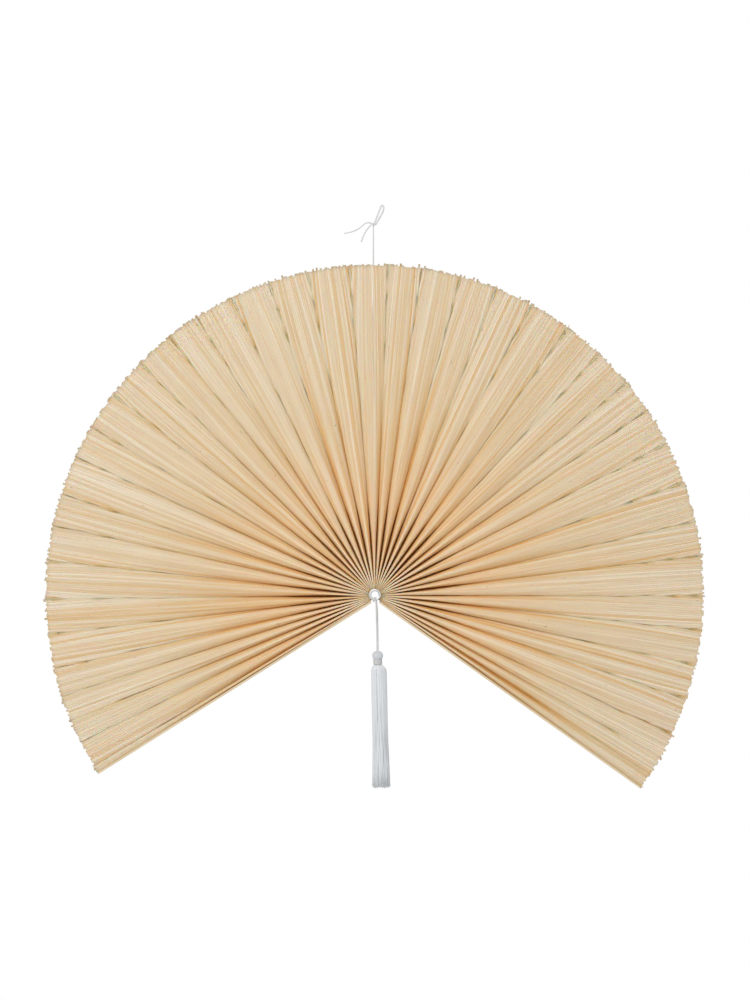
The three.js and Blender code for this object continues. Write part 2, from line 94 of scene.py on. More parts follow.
# Hanging cord: one thin white cotton string of three plies, doubled. It is looped round the bottom of
# the pivot ring, goes back below the feet inside the binding wire, parts to pass the hub on both sides,
# and runs up behind the leaf to the knot.
NAIL_ABOVE_HUB = Vector((10.6, 10, 594.4))
CORD_DIAMETER = 1.4
LEAF_BACK = 17.047
RING_BACK = -17.347
RING_FRONT = -19.747
RING_MIDDLE = -18.547
CORD_OFF_RING = 1.0
CORD_BEHIND = LEAF_BACK + CORD_OFF_RING
EYE_REACH = 4.5
UNDER_REACH = 10.2
RING_BOTTOM = -7.35
INSIDE_WIRE = 7.85
BESIDE_HUB = 7.3
KNOT_UNDER = 563.3
PLY_TURN = 0.0052


def from_hub(x, y, z):
    return (Vector((x, y, z)) - NAIL_ABOVE_HUB) / 1000


def down_to(radius, x):
    return -math.sqrt(radius ** 2 - x ** 2)


def smooth_route(points, spacing):
    ends = [points[0] * 2 - points[1]] + list(points) + [points[-1] * 2 - points[-2]]
    fine = []
    for k in range(1, len(ends) - 2):
        p0, p1, p2, p3 = ends[k - 1:k + 3]
        t1 = (p1 - p0).length ** 0.5
        t2 = t1 + (p2 - p1).length ** 0.5
        t3 = t2 + (p3 - p2).length ** 0.5
        for step in range(24):
            t = t1 + (t2 - t1) * step / 24
            a1 = p0.lerp(p1, t / t1)
            a2 = p1.lerp(p2, (t - t1) / (t2 - t1))
            a3 = p2.lerp(p3, (t - t2) / (t3 - t2))
            b1 = a1.lerp(a2, t / t2)
            b2 = a2.lerp(a3, (t - t1) / (t3 - t1))
            fine.append(b1.lerp(b2, (t - t1) / (t2 - t1)))
    fine.append(points[-1].copy())
    walked = [0.0]
    for a, b in zip(fine, fine[1:]):
        walked.append(walked[-1] + (b - a).length)
    count = max(2, round(walked[-1] / spacing))
    route = []
    place = 0
    for k in range(count + 1):
        goal = walked[-1] * k / count
        while place < len(walked) - 2 and walked[place + 1] < goal:
            place += 1
        part = (goal - walked[place]) / max(walked[place + 1] - walked[place], 1e-12)
        route.append(fine[place].lerp(fine[place + 1], min(part, 1)))
    return route, walked[-1]


def string_mesh(name, route, diameter, turn_length, plies=3, around=9, thin_end=1.0, fluffed=1.35):
    corners = []
    faces = []
    last = len(route) - 1
    forward = [(route[min(k + 1, last)] - route[max(k - 1, 0)]).normalized() for k in range(len(route))]
    side = Vector((0, 1, 0)) if abs(forward[0].y) < 0.9 else Vector((1, 0, 0))
    walked = 0
    for k, point in enumerate(route):
        side = (side - forward[k] * side.dot(forward[k])).normalized()
        up = forward[k].cross(side)
        walked += (point - route[k - 1]).length if k else 0
        slim = 1 - (1 - thin_end) * k / last
        for n in range(around):
            angle = 2 * math.pi * n / around
            lobe = abs(math.cos(plies / 2 * (angle - 2 * math.pi * walked / turn_length)))
            reach = diameter / 2 * slim * fluffed * (0.9 + 0.14 * lobe)
            corners.append(point + side * math.cos(angle) * reach + up * math.sin(angle) * reach)
    for k in range(last):
        for n in range(around):
            a, b = k * around + n, k * around + (n + 1) % around
            faces.append((a, b, b + around, a + around))
    faces.append(tuple(range(around - 1, -1, -1)))
    faces.append(tuple(range(last * around, len(route) * around)))
    mesh = bpy.data.meshes.new(name)
    mesh.from_pydata([tuple(c) for c in corners], [], faces)
    mesh.polygons.foreach_set("use_smooth", [True] * len(mesh.polygons))
    piece = bpy.data.objects.new(name, mesh)
    bpy.context.scene.collection.objects.link(piece)
    return piece


def new_finish(name):
    finish = bpy.data.materials.new(name)
    finish.use_nodes = True
    nodes = finish.node_tree.nodes
    nodes.clear()
    shader = nodes.new("ShaderNodeBsdfPrincipled")
    out = nodes.new("ShaderNodeOutputMaterial")
    finish.node_tree.links.new(shader.outputs["BSDF"], out.inputs["Surface"])
    return finish, nodes, finish.node_tree.links, shader


cotton, nodes, links, shader = new_finish("cotton_string")
shader.inputs["Roughness"].default_value = 0.86
shader.inputs["Sheen Weight"].default_value = 0.15
place = nodes.new("ShaderNodeTexCoord")
fluff = nodes.new("ShaderNodeTexNoise")
fluff.inputs["Scale"].default_value = 1400
fluff.inputs["Detail"].default_value = 4
links.new(place.outputs["Object"], fluff.inputs["Vector"])
soil = nodes.new("ShaderNodeTexNoise")
soil.inputs["Scale"].default_value = 60
soil.inputs["Detail"].default_value = 3
links.new(place.outputs["Object"], soil.inputs["Vector"])
shade = nodes.new("ShaderNodeValToRGB")
shade.color_ramp.elements[0].position = 0.3
shade.color_ramp.elements[0].color = (0.61, 0.615, 0.61, 1)
shade.color_ramp.elements[1].position = 0.65
shade.color_ramp.elements[1].color = (0.72, 0.725, 0.72, 1)
links.new(soil.outputs["Fac"], shade.inputs["Fac"])
links.new(shade.outputs["Color"], shader.inputs["Base Color"])
fuzz = nodes.new("ShaderNodeBump")
fuzz.inputs["Strength"].default_value = 0.35
fuzz.inputs["Distance"].default_value = 0.0002
links.new(fluff.outputs["Fac"], fuzz.inputs["Height"])
links.new(fuzz.outputs["Normal"], shader.inputs["Normal"])

hanging_points = [
    (-2.5, 9.15, KNOT_UNDER),
    (-2.6, 11, 400),
    (-2.9, 13.4, 220),
    (-3.6, CORD_BEHIND, 90),
    (-5.4, CORD_BEHIND, 36),
    (-6.9, CORD_BEHIND, 10),
    (-BESIDE_HUB, CORD_BEHIND, 2),
    (-BESIDE_HUB + 0.6, CORD_BEHIND, -3.6),
    (-BESIDE_HUB + 2.3, CORD_BEHIND, -6.6),
    (-3.2, CORD_BEHIND - 0.6, down_to(INSIDE_WIRE, -3.2)),
    (-2.2, CORD_BEHIND - 2.6, down_to(INSIDE_WIRE, -2.2)),
    (-2, CORD_BEHIND - 6, down_to(INSIDE_WIRE, -2)),
    (-2, RING_BACK + 5, down_to(INSIDE_WIRE, -2)),
    (-1.95, RING_BACK + 1.9, down_to(UNDER_REACH, -1.95) + 0.7),
    (-1.85, RING_BACK + 0.2, down_to(UNDER_REACH, -1.85)),
    (-1.6, RING_MIDDLE, down_to(UNDER_REACH, -1.6)),
    (-1.4, RING_FRONT - 0.4, down_to(UNDER_REACH, -1.4)),
    (-1.25, RING_FRONT - CORD_OFF_RING, down_to(UNDER_REACH, -1.25) + 0.9),
    (-1.1, RING_FRONT - CORD_OFF_RING, RING_BOTTOM),
    (-0.95, RING_FRONT - CORD_OFF_RING, down_to(EYE_REACH, -0.95) - 0.9),
    (-0.9, RING_FRONT - 0.4, down_to(EYE_REACH, -0.9)),
    (-0.85, RING_MIDDLE, down_to(EYE_REACH, -0.85)),
    (-0.8, RING_BACK + 0.4, down_to(EYE_REACH, -0.8)),
    (-0.6, RING_BACK + CORD_OFF_RING, down_to(EYE_REACH, -0.6) - 0.9),
    (-0.3, RING_BACK + CORD_OFF_RING + 0.3, RING_BOTTOM + 0.4),
    (-0.1, RING_BACK + 3, -INSIDE_WIRE + 0.1),
    (0, RING_BACK + 6, -INSIDE_WIRE),
    (0, CORD_BEHIND - 6, -INSIDE_WIRE),
    (0.3, CORD_BEHIND - 2.6, -INSIDE_WIRE),
    (1.5, CORD_BEHIND - 0.6, down_to(INSIDE_WIRE, 1.5)),
    (3.4, CORD_BEHIND, down_to(INSIDE_WIRE, 3.4)),
    (BESIDE_HUB - 2, CORD_BEHIND, -6.3),
    (BESIDE_HUB - 0.5, CORD_BEHIND, -3.4),
    (BESIDE_HUB, CORD_BEHIND, 2),
    (6.6, CORD_BEHIND, 10),
    (4.2, CORD_BEHIND, 36),
    (-0.6, CORD_BEHIND, 90),
    (-1.9, 15.4, 220),
    (-2.4, 13, 400),
    (-2.5, 10.85, KNOT_UNDER),
]
route, length = smooth_route([from_hub(*p) for p in hanging_points], 0.0007)
hanging_string = string_mesh("hanging_string", route, CORD_DIAMETER / 1000, PLY_TURN)
hanging_string.data.materials.append(cotton)
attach(hanging_string, "hub")
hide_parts("hanging_cord")

# Hanging knot: the overhand knot in the doubled string above the rim, pulled tight. What stands above
# it is the loop for the nail, and the string's two cut ends stick out at its left.
KNOT_CENTRE = (-2.6, 10, 566.2)
KNOT_STEPS = 96
LOOP_ENDS = [(-0.45, 10, 568.85), (1.05, 10, 566.15)]
knot_route = [from_hub(*LOOP_ENDS[0]), from_hub(-1.6, 10, 567.2)]
for k in range(KNOT_STEPS + 1):
    t = 2 * math.pi * k / KNOT_STEPS
    knot_route.append(from_hub(
        KNOT_CENTRE[0] + 0.67 * (math.sin(t) + 2 * math.sin(2 * t)),
        KNOT_CENTRE[1] - 1.4 * math.sin(3 * t),
        KNOT_CENTRE[2] + 0.65 * (math.cos(t) - 2 * math.cos(2 * t)),
    ))
knot_route += [from_hub(-0.9, 10, 565.7), from_hub(*LOOP_ENDS[1])]
tied_knot = string_mesh("tied_knot", knot_route, 0.0019, 0.0055, plies=4, around=12, fluffed=1.0)
tied_knot.data.materials.append(cotton)
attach(tied_knot, "hub")
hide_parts("hanging_knot")

# Hanging loop: the slim loop of the same string above the knot, which goes over a nail. Its two strands
# lie close together near the knot and open a little round the crown.
loop_points = [
    LOOP_ENDS[0], (0.75, 10, 572.05), (1.95, 10, 575.3), (3.2, 10, 578.6), (4.5, 10, 581.9),
    (5.8, 10, 585.2), (7.1, 10, 588.4), (8.15, 10, 591.1), (9.15, 10, 593.9), (10.8, 10, 595.2),
    (12.5, 10, 594.2), (13.15, 10, 591.6), (12.8, 10, 588.2), (11.7, 10, 584.9), (10.1, 10, 581.8),
    (8.3, 10, 578.6), (6.5, 10, 575.4), (4.7, 10, 572.3), (2.9, 10, 569.2), LOOP_ENDS[1],
]
route, length = smooth_route([from_hub(*p) for p in loop_points], 0.0006)
nail_loop = string_mesh("nail_loop", route, CORD_DIAMETER / 1000, PLY_TURN, fluffed=1.85)
nail_loop.data.materials.append(cotton)
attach(nail_loop, "hub")
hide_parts("hanging_loop")

# Tails: the two cut ends of the string, left loose at the knot. The long one arches over and runs off to
# the left, the short one hangs down beside the string, and both have come a little untwisted.
LOOSE_PLY_TURN = 0.0064
long_tail_points = [
    (-5.4, 9.7, 567.8), (-8, 9.4, 568.6), (-10.6, 9.1, 568.9), (-13.2, 9, 568.3), (-15.6, 9, 567.1),
    (-17.9, 9, 565.3), (-20.2, 9, 563.4), (-22.8, 9, 561.3), (-25.5, 9, 559.3), (-28.4, 9, 557.7),
    (-31.3, 9, 556.4), (-34.2, 9, 555.3), (-37.2, 9, 554.4), (-42.5, 9, 553.1), (-47.7, 9, 552.5),
]
short_tail_points = [
    (-5.75, 10.3, 565.5), (-7.3, 10.5, 564.2), (-8.7, 10.6, 562.75), (-10.1, 10.6, 561.1),
    (-11.5, 10.6, 559.3), (-12.85, 10.6, 557.4), (-14.1, 10.6, 555.5), (-15.25, 10.6, 553.6),
    (-16.3, 10.6, 551.7), (-17.25, 10.6, 549.8), (-18.05, 10.6, 547.9), (-18.8, 10.6, 546),
    (-19.5, 10.6, 544.1), (-20.3, 10.6, 541.8), (-21.1, 10.6, 539.2),
]
for name, node, points, thin in [
    ("long_loose_end", "long_tail", long_tail_points, 0.85),
    ("short_loose_end", "short_tail", short_tail_points, 1.0),
]:
    route, length = smooth_route([from_hub(*p) for p in points], 0.0006)
    loose_end = string_mesh(name, route, CORD_DIAMETER / 1000, LOOSE_PLY_TURN, thin_end=thin, fluffed=1.4)
    loose_end.data.materials.append(cotton)
    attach(loose_end, "hub")
    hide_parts(node)

# Tassel cord: a loop of the same string round the bottom of the ring, in front of the hanging cord. Both
# strands hang straight down, side by side, into the top of the tassel.
TASSEL_X = 4
TASSEL_TOP = -85.4
HEAD_TOP = TASSEL_TOP + 0.3
tassel_points = [
    (TASSEL_X - 0.85, RING_MIDDLE, HEAD_TOP),
    (TASSEL_X - 1.05, RING_MIDDLE - 0.1, -70),
    (TASSEL_X - 1.55, RING_MIDDLE - 0.5, -45),
    (1.85, RING_FRONT - CORD_OFF_RING + 0.7, -24),
    (1.35, RING_FRONT - CORD_OFF_RING, -UNDER_REACH - 2),
    (1, RING_FRONT - CORD_OFF_RING, RING_BOTTOM),
    (0.85, RING_FRONT - CORD_OFF_RING, down_to(EYE_REACH, 0.85) - 0.9),
    (0.85, RING_FRONT - 0.4, down_to(EYE_REACH, 0.85)),
    (0.95, RING_MIDDLE, down_to(EYE_REACH, 0.95)),
    (1.1, RING_BACK + 0.4, down_to(EYE_REACH, 1.1)),
    (1.3, RING_BACK + CORD_OFF_RING, down_to(EYE_REACH, 1.3) - 0.9),
    (1.7, RING_BACK + CORD_OFF_RING, RING_BOTTOM),
    (2.5, RING_BACK + CORD_OFF_RING, -UNDER_REACH - 2),
    (3.55, RING_BACK + CORD_OFF_RING - 0.7, -24),
    (TASSEL_X + 0.15, RING_MIDDLE + 0.5, -45),
    (TASSEL_X + 0.65, RING_MIDDLE + 0.1, -70),
    (TASSEL_X + 0.85, RING_MIDDLE, HEAD_TOP),
]
route, length = smooth_route([from_hub(*p) for p in tassel_points], 0.0006)
tassel_string = string_mesh("tassel_string", route, CORD_DIAMETER / 1000, PLY_TURN)
tassel_string.data.materials.append(cotton)
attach(tassel_string, "tassel_string")
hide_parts("tassel_cord")

# Tassel head: the bundle of fine white threads folded over the string, drawn in at the neck. The threads
# lie side by side from the crown to the neck, so the head is finely ribbed.
yarn, nodes, links, shader = new_finish("tassel_yarn")
shader.inputs["Roughness"].default_value = 0.62
shader.inputs["Sheen Weight"].default_value = 0.25
place = nodes.new("ShaderNodeTexCoord")
run = nodes.new("ShaderNodeMapping")
run.inputs["Scale"].default_value = (1500, 1500, 40)
links.new(place.outputs["Object"], run.inputs["Vector"])
fibre = nodes.new("ShaderNodeTexNoise")
fibre.inputs["Scale"].default_value = 1
fibre.inputs["Detail"].default_value = 3
links.new(run.outputs["Vector"], fibre.inputs["Vector"])
tone = nodes.new("ShaderNodeAttribute")
tone.attribute_name = "tone"
blend = nodes.new("ShaderNodeMath")
blend.operation = "MULTIPLY_ADD"
blend.inputs[1].default_value = 0.45
links.new(fibre.outputs["Fac"], blend.inputs[0])
links.new(tone.outputs["Fac"], blend.inputs[2])
shade = nodes.new("ShaderNodeValToRGB")
shade.color_ramp.elements[0].position = 0.2
shade.color_ramp.elements[0].color = (0.62, 0.645, 0.67, 1)
shade.color_ramp.elements[1].position = 1.0
shade.color_ramp.elements[1].color = (0.82, 0.845, 0.87, 1)
links.new(blend.outputs[0], shade.inputs["Fac"])
links.new(shade.outputs["Color"], shader.inputs["Base Color"])
ribs = nodes.new("ShaderNodeBump")
ribs.inputs["Strength"].default_value = 0.25
ribs.inputs["Distance"].default_value = 0.0002
links.new(fibre.outputs["Fac"], ribs.inputs["Height"])
links.new(ribs.outputs["Normal"], shader.inputs["Normal"])

HEAD_PROFILE = [
    (0, 0.9), (0.15, 2.2), (0.6, 3.9), (1.3, 5.3), (2.3, 6.5), (3.6, 7.45), (5.2, 8.0), (6.8, 8.2),
    (8.4, 8.1), (9.9, 7.75), (11.1, 7.1), (12.0, 6.4), (12.6, 5.9), (14.6, 5.75), (17.4, 5.75),
    (20.3, 5.75),
]
HEAD_THREADS = 44
AROUND_HEAD = HEAD_THREADS * 4
corners = []
tones = []
thread_tone = random.Random(11)
head_tones = [thread_tone.random() for _ in range(HEAD_THREADS)]
for down, reach in HEAD_PROFILE:
    for n in range(AROUND_HEAD):
        angle = 2 * math.pi * n / AROUND_HEAD
        swing = angle + 0.012 * down
        rib = 1 - 0.045 * (1 - abs(math.cos(HEAD_THREADS / 2 * angle)))
        corners.append(from_hub(
            TASSEL_X + reach * rib * math.cos(swing),
            RING_MIDDLE + reach * rib * math.sin(swing),
            TASSEL_TOP - down,
        ))
        tones.append(-0.1 + 0.3 * head_tones[n * HEAD_THREADS // AROUND_HEAD])
faces = []
for row in range(len(HEAD_PROFILE) - 1):
    for n in range(AROUND_HEAD):
        a, b = row * AROUND_HEAD + n, row * AROUND_HEAD + (n + 1) % AROUND_HEAD
        faces.append((a, a + AROUND_HEAD, b + AROUND_HEAD, b))
faces.append(tuple(range(AROUND_HEAD)))
last = (len(HEAD_PROFILE) - 1) * AROUND_HEAD
faces.append(tuple(range(last + AROUND_HEAD - 1, last - 1, -1)))
mesh = bpy.data.meshes.new("thread_head")
mesh.from_pydata([tuple(c) for c in corners], [], faces)
mesh.polygons.foreach_set("use_smooth", [True] * len(mesh.polygons))
mesh.attributes.new("tone", "FLOAT", "POINT").data.foreach_set("value", tones)
thread_head = bpy.data.objects.new("thread_head", mesh)
bpy.context.scene.collection.objects.link(thread_head)
mesh.materials.append(yarn)
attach(thread_head, "tassel")
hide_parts("tassel_head")

# Neck wrap: a white cotton thread wound tightly round the neck, turn against turn. It draws the bundle
# in below the head and holds the tassel together.
WRAP_DIAMETER = 1.1
WRAP_RADIUS = 6.5
WRAP_DOWN = 13.1
WRAP_TURNS = 6
WRAP_PITCH = 1.13
STEPS_A_TURN = 32
wrap_route = []
for k in range(WRAP_TURNS * STEPS_A_TURN + 1):
    angle = 2 * math.pi * k / STEPS_A_TURN
    wrap_route.append(from_hub(
        TASSEL_X + WRAP_RADIUS * math.cos(angle),
        RING_MIDDLE + WRAP_RADIUS * math.sin(angle),
        TASSEL_TOP - WRAP_DOWN - WRAP_PITCH * k / STEPS_A_TURN,
    ))
neck_winding = string_mesh("neck_winding", wrap_route, WRAP_DIAMETER / 1000, 0.004, fluffed=1.0)
neck_winding.data.materials.append(cotton)
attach(neck_winding, "tassel")
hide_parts("tassel_neck_wrap")

# Tassel skirt: some hundreds of fine white threads that hang from the neck. They bulge below the winding,
# fall straight with slow waves, drift a little to the right and end in an uneven cut.
SKIRT_TOP = -106
SKIRT_LENGTH = 185
SKIRT_DRIFT = 5.5
SKIRT_PROFILE = [
    (0, 5.3, 0.05), (1.5, 7.2, 0.12), (3.5, 9.0, 0.2), (6, 10.4, 0.29), (9, 11.1, 0.36), (16, 11.3, 0.4),
    (45, 11.3, 0.5), (80, 11.3, 0.62), (115, 11.4, 0.73), (140, 12.0, 0.84), (163, 12.7, 0.92),
    (185, 13.3, 1),
]
SKIRT_LAYERS = [(1.0, 156, 0.42), (0.84, 104, 0.5), (0.6, 60, 0.62)]
threads = random.Random(23)
corners = []
faces = []
tones = []
for layer, (inwards, count, radius) in enumerate(SKIRT_LAYERS):
    for n in range(count):
        turn = 2 * math.pi * (n + 0.5 * layer + threads.uniform(-0.3, 0.3)) / count
        wave = [threads.uniform(0, 6.28), threads.uniform(0, 6.28)]
        sway = threads.uniform(0.2, 0.7)
        cut = threads.uniform(-1.8, 1.8) + 0.7 * math.sin(turn * 5 + 1)
        tone_of_thread = threads.uniform(0.45, 0.75)
        in_out = threads.uniform(-0.35, 0.35)
        base = len(corners)
        for row, (down, reach, drift_share) in enumerate(SKIRT_PROFILE):
            deep = down / SKIRT_LENGTH
            low = down + (cut if row == len(SKIRT_PROFILE) - 1 else 0)
            angle = turn + sway * deep * math.sin(down / 23 + wave[0]) / 11
            out = reach * inwards + (in_out + 0.4 * sway * math.sin(down / 31 + wave[1])) * min(1, down / 9)
            drift = SKIRT_DRIFT * drift_share
            middle = (
                TASSEL_X + drift + out * math.cos(angle),
                RING_MIDDLE + out * math.sin(angle),
                SKIRT_TOP - low,
            )
            thick = radius * (0.8 if row == len(SKIRT_PROFILE) - 1 else 1)
            for c in range(5):
                spin = angle + 2 * math.pi * c / 5
                corners.append(from_hub(
                    middle[0] + thick * math.cos(spin), middle[1] + thick * math.sin(spin), middle[2],
                ))
                tones.append(tone_of_thread)
        for row in range(len(SKIRT_PROFILE) - 1):
            for c in range(5):
                a, b = base + row * 5 + c, base + row * 5 + (c + 1) % 5
                faces.append((a, a + 5, b + 5, b))
        faces.append(tuple(base + c for c in range(5)))
        foot = base + (len(SKIRT_PROFILE) - 1) * 5
        faces.append(tuple(foot + c for c in range(4, -1, -1)))
mesh = bpy.data.meshes.new("skirt_threads")
mesh.from_pydata([tuple(c) for c in corners], [], faces)
mesh.polygons.foreach_set("use_smooth", [True] * len(mesh.polygons))
mesh.attributes.new("tone", "FLOAT", "POINT").data.foreach_set("value", tones)
skirt_threads = bpy.data.objects.new("skirt_threads", mesh)
bpy.context.scene.collection.objects.link(skirt_threads)
mesh.materials.append(yarn)
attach(skirt_threads, "tassel")
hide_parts("tassel_skirt")

# Pivot ring: a small nickel plated ring with a rounded rim, pressed flat against the gathered feet. The
# strings through its eye hold it there. The plating is polished, with fine scratches from handling.
RING_OUTER = 9.2
RING_INNER = 5.5
RING_ROUNDING = 1.05
AROUND_RING = 96
nickel, nodes, links, shader = new_finish("nickel_plate")
shader.inputs["Metallic"].default_value = 1.0
place = nodes.new("ShaderNodeTexCoord")
cloud = nodes.new("ShaderNodeTexNoise")
cloud.inputs["Scale"].default_value = 420
cloud.inputs["Detail"].default_value = 5
links.new(place.outputs["Object"], cloud.inputs["Vector"])
shade = nodes.new("ShaderNodeValToRGB")
shade.color_ramp.elements[0].position = 0.3
shade.color_ramp.elements[0].color = (0.52, 0.515, 0.51, 1)
shade.color_ramp.elements[1].position = 0.7
shade.color_ramp.elements[1].color = (0.66, 0.655, 0.65, 1)
links.new(cloud.outputs["Fac"], shade.inputs["Fac"])
links.new(shade.outputs["Color"], shader.inputs["Base Color"])
dull = nodes.new("ShaderNodeMapRange")
dull.inputs["To Min"].default_value = 0.12
dull.inputs["To Max"].default_value = 0.34
links.new(cloud.outputs["Fac"], dull.inputs["Value"])
links.new(dull.outputs["Result"], shader.inputs["Roughness"])
profile = []
for radius, y, inwards, deeper, start in [
    (RING_OUTER, RING_FRONT, -1, 1, -0.5), (RING_OUTER, RING_BACK, -1, -1, 0),
    (RING_INNER, RING_BACK, 1, -1, 0.5), (RING_INNER, RING_FRONT, 1, 1, 1),
]:
    for k in range(7):
        angle = math.pi * (start + k / 12)
        profile.append((
            radius + inwards * RING_ROUNDING + RING_ROUNDING * math.cos(angle),
            y + deeper * RING_ROUNDING + RING_ROUNDING * math.sin(angle),
        ))
corners = []
faces = []
for n in range(AROUND_RING):
    angle = 2 * math.pi * n / AROUND_RING
    for radius, y in profile:
        corners.append(from_hub(radius * math.cos(angle), y, radius * math.sin(angle)))
    for k in range(len(profile)):
        a = n * len(profile) + k
        b = n * len(profile) + (k + 1) % len(profile)
        c = ((n + 1) % AROUND_RING) * len(profile) + k
        d = ((n + 1) % AROUND_RING) * len(profile) + (k + 1) % len(profile)
        faces.append((a, b, d, c))
mesh = bpy.data.meshes.new("plated_ring")
mesh.from_pydata([tuple(c) for c in corners], [], faces)
mesh.polygons.foreach_set("use_smooth", [True] * len(mesh.polygons))
mesh.materials.append(nickel)
plated_ring = bpy.data.objects.new("plated_ring", mesh)
bpy.context.scene.collection.objects.link(plated_ring)
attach(plated_ring, "hub")
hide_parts("pivot_ring")

# Binding wire: a ring of thin drawn steel wire through a hole in every foot. It keeps the feet together
# round the hub and lets them turn, and is hidden inside the gathered leaf.
steel, nodes, links, shader = new_finish("drawn_steel")
shader.inputs["Metallic"].default_value = 1.0
place = nodes.new("ShaderNodeTexCoord")
drawn = nodes.new("ShaderNodeTexNoise")
drawn.inputs["Scale"].default_value = 900
drawn.inputs["Detail"].default_value = 4
links.new(place.outputs["Object"], drawn.inputs["Vector"])
shade = nodes.new("ShaderNodeValToRGB")
shade.color_ramp.elements[0].color = (0.30, 0.29, 0.28, 1)
shade.color_ramp.elements[1].color = (0.55, 0.54, 0.52, 1)
links.new(drawn.outputs["Fac"], shade.inputs["Fac"])
links.new(shade.outputs["Color"], shader.inputs["Base Color"])
dull = nodes.new("ShaderNodeMapRange")
dull.inputs["To Min"].default_value = 0.3
dull.inputs["To Max"].default_value = 0.5
links.new(drawn.outputs["Fac"], dull.inputs["Value"])
links.new(dull.outputs["Result"], shader.inputs["Roughness"])
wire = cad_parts["binding_wire"]
wire.data.materials.clear()
wire.data.materials.append(steel)

# Leaf: a mat of split bamboo sticks, stitched side by side with rows of fine thread and folded into
# pleats of two panels each. At the hub the panels stand on edge, further out each bulges forward in an
# arch, and at the rim they lie almost flat. Sticks differ in tone, and their ends are cut unevenly.
PLEAT_WIDTHS = [
    1.2, 4.8, 4, 4.6, 4.9, 6.1, 6.2, 6.7, 6.3, 5.5,
    7.1, 5.7, 6.9, 7.3, 6.9, 5.7, 7.1, 7, 7, 7.4,
    6.8,
    5.8, 7, 6.6, 6.8, 7.5, 7.1, 7, 5.9, 6.8, 7.4,
    7.1, 6, 7.1, 5.9, 6.2, 6.1, 6.7, 4.4, 3.5, 2.6,
]
CENTRE_PLEAT = 20
LEFT_SPREAD, RIGHT_SPREAD = 122.8, 125.9
LEFT_FOOT_SPREAD, RIGHT_FOOT_SPREAD = 157, 151
RIM_RADIUS = 502.5
RIM_CENTRE = Vector((-0.7, 0, 1.9))
FOOT_RADIUS = 8
LEAST_PANEL_WIDTH = 29
RIM_DEPTH = 9.6
PLEAT_GAP = 0.3
STICK_PITCH = 2.35
STICK_THICKNESS = 0.72
STICK_PROUD = 0.14
STICK_PROFILE = [(-1, -1), (1, -1), (1, 0.3), (0.6, 1), (-0.6, 1), (-1, 0.3)]
# Places along a stick, from the foot at 0 to the rim at 1.
ALONG = [
    0, 0.012, 0.03, 0.055, 0.085, 0.12, 0.16, 0.21, 0.27,
    0.34, 0.42, 0.51, 0.6, 0.69, 0.78, 0.86, 0.93, 1,
]
# The arch, along the stick: how much of the panel's room it spans, and how far back it falls for its
# width. In a narrow pleat it falls back further.
FOLD_TOP = [
    (0, 0.45), (0.08, 0.5), (0.12, 0.54), (0.17, 0.63),
    (0.22, 0.82), (0.27, 0.95), (0.32, 1), (1, 1),
]
FOLD_RISE = [
    (0, 1.6), (0.1, 1.6), (0.17, 1.35), (0.29, 1.05),
    (0.45, 0.58), (0.6, 0.26), (0.75, 0.08), (1, 0.015),
]
FOLD_INSET = 0.4
USUAL_WIDTH = 6.1
ARCH_STEPS = 16
ARCH_ROUNDING = 2.2
MOST_FALL = 0.85
# From the arch's edge a wall runs straight back to the valley. Towards the rim neighbouring pleats close
# up, and the sticks of the wall tuck in behind the face.
WALL_ROOM = 0.02
WALL_TUCKED = [(0, 0), (0.3, 0), (0.5, 1), (1, 1)]
WALL_BELOW_FACE = 0.6
WALL_CLOSES = [(0, 0), (0.4, 0), (0.65, 0.15), (1, 0.15)]
EDGE_STICK_HALF = 1.3
EDGE_STICK_SHORT = 2.5
# Painted shade: sticks on the steep walls of each pleat, which stand back into the folds, get a warmer,
# darker tone, more of it towards the rim.
PAINTED_WALL_SHADE = 0.75
THREAD_RADII = [481, 250]
THREAD_HALF = 0.16
THREAD_WEAVE = [(0.04, 0.62), (0.3, 0.55), (0.5, 0.1), (0.7, 0.55), (0.96, 0.62)]

bamboo, nodes, links, shader = new_finish("split_bamboo")
grain = nodes.new("ShaderNodeAttribute")
grain.attribute_name = "grain"
tone = nodes.new("ShaderNodeAttribute")
tone.attribute_name = "tone"
fibre_run = nodes.new("ShaderNodeVectorMath")
fibre_run.operation = "MULTIPLY"
fibre_run.inputs[1].default_value = (14, 2600, 61)
links.new(grain.outputs["Vector"], fibre_run.inputs[0])
fibre = nodes.new("ShaderNodeTexNoise")
fibre.inputs["Scale"].default_value = 1
fibre.inputs["Detail"].default_value = 3
links.new(fibre_run.outputs["Vector"], fibre.inputs["Vector"])
patch_run = nodes.new("ShaderNodeVectorMath")
patch_run.operation = "MULTIPLY"
patch_run.inputs[1].default_value = (9, 90, 37)
links.new(grain.outputs["Vector"], patch_run.inputs[0])
patch = nodes.new("ShaderNodeTexNoise")
patch.inputs["Scale"].default_value = 1
patch.inputs["Detail"].default_value = 2
links.new(patch_run.outputs["Vector"], patch.inputs["Vector"])
mixed_tone = nodes.new("ShaderNodeMath")
mixed_tone.operation = "MULTIPLY_ADD"
mixed_tone.inputs[1].default_value = 0.45
links.new(patch.outputs["Fac"], mixed_tone.inputs[0])
links.new(tone.outputs["Fac"], mixed_tone.inputs[2])
# The painted wall shade that add_stick adds to each stick's tone moves steep sticks towards the orange end
# of this ramp.
stick_colour = nodes.new("ShaderNodeValToRGB")
ramp = stick_colour.color_ramp
ramp.elements[0].position = 0.15
ramp.elements[0].color = (0.86, 0.77, 0.61, 1)
ramp.elements[1].position = 1.0
ramp.elements[1].color = (0.73, 0.43, 0.15, 1)
for position, colour in [(0.45, (0.80, 0.67, 0.475, 1)), (0.75, (0.78, 0.57, 0.31, 1))]:
    ramp.elements.new(position).color = colour
links.new(mixed_tone.outputs[0], stick_colour.inputs["Fac"])
fibre_shade = nodes.new("ShaderNodeValToRGB")
fibre_shade.color_ramp.elements[0].position = 0.3
